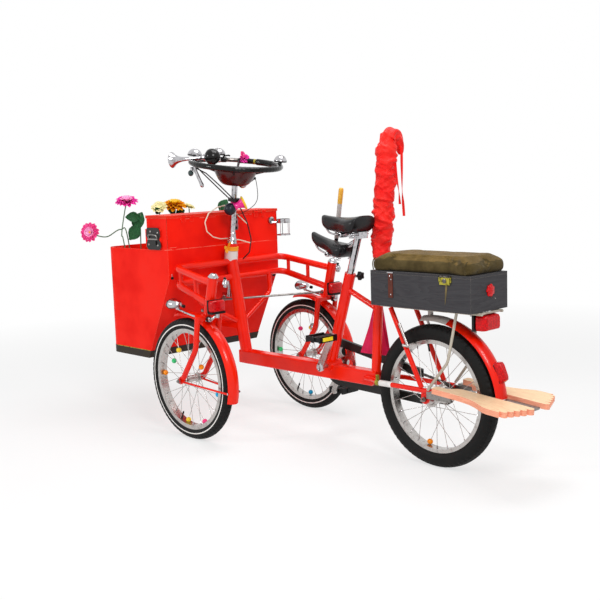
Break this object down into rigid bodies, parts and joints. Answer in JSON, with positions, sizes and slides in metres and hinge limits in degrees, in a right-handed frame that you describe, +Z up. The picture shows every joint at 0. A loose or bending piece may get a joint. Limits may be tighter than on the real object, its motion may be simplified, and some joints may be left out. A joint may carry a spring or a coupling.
{
  "type": "cargo tricycle",
  "caption": "Front-load cargo tricycle: red tub and lidded chest between steered front wheels, steering wheel, driven rear wheel, cushioned rear box with foot boards, furled parasol.",
  "frame": {"origin": "on the ground, under the middle of the vehicle's length and width", "axes": "+Z up, -Y forward, +X the rider's left"},
  "size_m": [0.801, 2.0517, 1.178],
  "materials": {
    "red_paint": "gloss enamel",
    "red_tub": "semi-gloss enamel, scuffed",
    "black_paint": "semi-gloss",
    "grey_box": "dark grey paint",
    "cream_paint": "gloss",
    "chrome": "plated",
    "steel": "zinc plated",
    "alloy": "polished",
    "brass": "worn",
    "black_leather": "satin",
    "black_grip": "gloss",
    "black_plastic": "matt",
    "pale_wood": "varnished",
    "cushion_fabric": "corduroy",
    "red_fabric": "thin cotton",
    "red_lens": "moulded",
    "tyre": "moulded rubber",
    "pink_plastic": "moulded",
    "cream_plastic": "cable cover",
    "silk_petals": "artificial silk"
  },
  "bodies": {
    "chassis": {"main_beam": "red_paint", "down_tube": "red_paint", "seat_tube": "red_paint", "rear_post": "red_paint", "rear_stays": "red_paint", "rear_axle": "steel", "left_cross_frame": "red_paint", "right_cross_frame": "red_paint", "seat_post": "chrome", "upper_saddle": "black_leather", "lower_saddle": "black_leather", "cane": "pale_wood", "cargo_tub": "red_tub", "tub_base": "black_paint", "tub_brackets": "red_paint", "chest": "red_tub", "chest_fittings": "black_paint", "rear_box": "grey_box", "box_fittings": "brass", "rear_rack": "cream_paint", "rear_fender": "red_paint", "fender_front": "steel", "rear_lamps": "red_lens", "foot_boards": "pale_wood", "board_straps": "steel", "parasol": "red_fabric", "chain": "steel", "chain_case": "black_paint", "brake_cable": "black_plastic", "gear_cable": "cream_plastic", "brake_arms": "alloy", "cup_holder": "chrome", "flowers": "silk_petals"},
    "chest_cover": {"chest_lid": "red_tub"},
    "seat_lid": {"seat_board": "grey_box", "cushion": "cushion_fabric"},
    "steering": {"steering_stem": "chrome", "steering_wheel": "black_grip", "ring_fittings": "chrome", "horn": "chrome", "toy_horn": "pink_plastic", "steering_cables": "black_plastic"},
    "left_link": {"left_tie_rod": "steel"},
    "right_link": {"right_tie_rod": "steel"},
    "left_steered_fork": {"left_fork": "red_paint", "left_fender": "red_paint", "left_lamps": "chrome"},
    "right_steered_fork": {"right_fork": "red_paint", "right_fender": "red_paint", "right_lamps": "chrome"},
    "left_wheel": {"left_tyre": "tyre", "left_rim": "chrome"},
    "right_wheel": {"right_tyre": "tyre", "right_rim": "chrome"},
    "rear_wheel": {"rear_tyre": "tyre", "rear_rim": "chrome"},
    "cranks": {"crankset": "alloy"},
    "left_pedal_body": {"left_pedal": "black_plastic"},
    "right_pedal_body": {"right_pedal": "black_plastic"}
  },
  "joints": [
    {"name": "steering", "type": "hinge", "parent": "chassis", "child": "steering", "pos_m": [0, -0.493, 0.778], "axis": [0, 0.1421, 0.9898], "range_deg": [-30, 30]},
    {"name": "left_kingpin", "type": "hinge", "parent": "chassis", "child": "left_steered_fork", "pos_m": [0.331, -0.259, 0.518], "axis": [0, 0.2471, 0.969], "range_deg": [-31, 31]},
    {"name": "right_kingpin", "type": "hinge", "parent": "chassis", "child": "right_steered_fork", "pos_m": [-0.331, -0.259, 0.518], "axis": [0, 0.2471, 0.969], "range_deg": [-31, 31]},
    {"name": "left_link_pivot", "type": "hinge", "parent": "steering", "child": "left_link", "pos_m": [0, -0.56155, 0.53983], "axis": [0, 0.1421, 0.9898], "range_deg": [-31, 31]},
    {"name": "right_link_pivot", "type": "hinge", "parent": "steering", "child": "right_link", "pos_m": [0, -0.56155, 0.53983], "axis": [0, 0.1421, 0.9898], "range_deg": [-31, 31]},
    {"name": "left_wheel_spin", "type": "hinge", "parent": "left_steered_fork", "child": "left_wheel", "pos_m": [0.331, -0.386, 0.247], "axis": [1, 0, 0], "continuous": true},
    {"name": "right_wheel_spin", "type": "hinge", "parent": "right_steered_fork", "child": "right_wheel", "pos_m": [-0.331, -0.386, 0.247], "axis": [1, 0, 0], "continuous": true},
    {"name": "rear_wheel_spin", "type": "hinge", "parent": "chassis", "child": "rear_wheel", "pos_m": [0, 0.597, 0.257], "axis": [1, 0, 0], "continuous": true},
    {"name": "crank_spin", "type": "hinge", "parent": "chassis", "child": "cranks", "pos_m": [0, 0.088, 0.309], "axis": [1, 0, 0], "continuous": true},
    {"name": "left_pedal_spin", "type": "hinge", "parent": "cranks", "child": "left_pedal_body", "pos_m": [0.12, 0.15383, 0.4382], "axis": [1, 0, 0], "continuous": true},
    {"name": "right_pedal_spin", "type": "hinge", "parent": "cranks", "child": "right_pedal_body", "pos_m": [-0.12, 0.02217, 0.1798], "axis": [1, 0, 0], "continuous": true},
    {"name": "chest_lid_hinge", "type": "hinge", "parent": "chassis", "child": "chest_cover", "pos_m": [0, -0.533, 0.889], "axis": [-1, 0, 0], "range_deg": [0, 80]},
    {"name": "seat_lid_hinge", "type": "hinge", "parent": "chassis", "child": "seat_lid", "pos_m": [-0.108, 0.6055, 0.696], "axis": [0, -1, 0], "range_deg": [0, 95]}
  ],
  "couplings": [
    {"joint": "left_kingpin", "follows": "steering", "ratio": 1},
    {"joint": "right_kingpin", "follows": "steering", "ratio": 1},
    {"joint": "left_link_pivot", "follows": "steering", "ratio": -1},
    {"joint": "right_link_pivot", "follows": "steering", "ratio": -1}
  ]
}
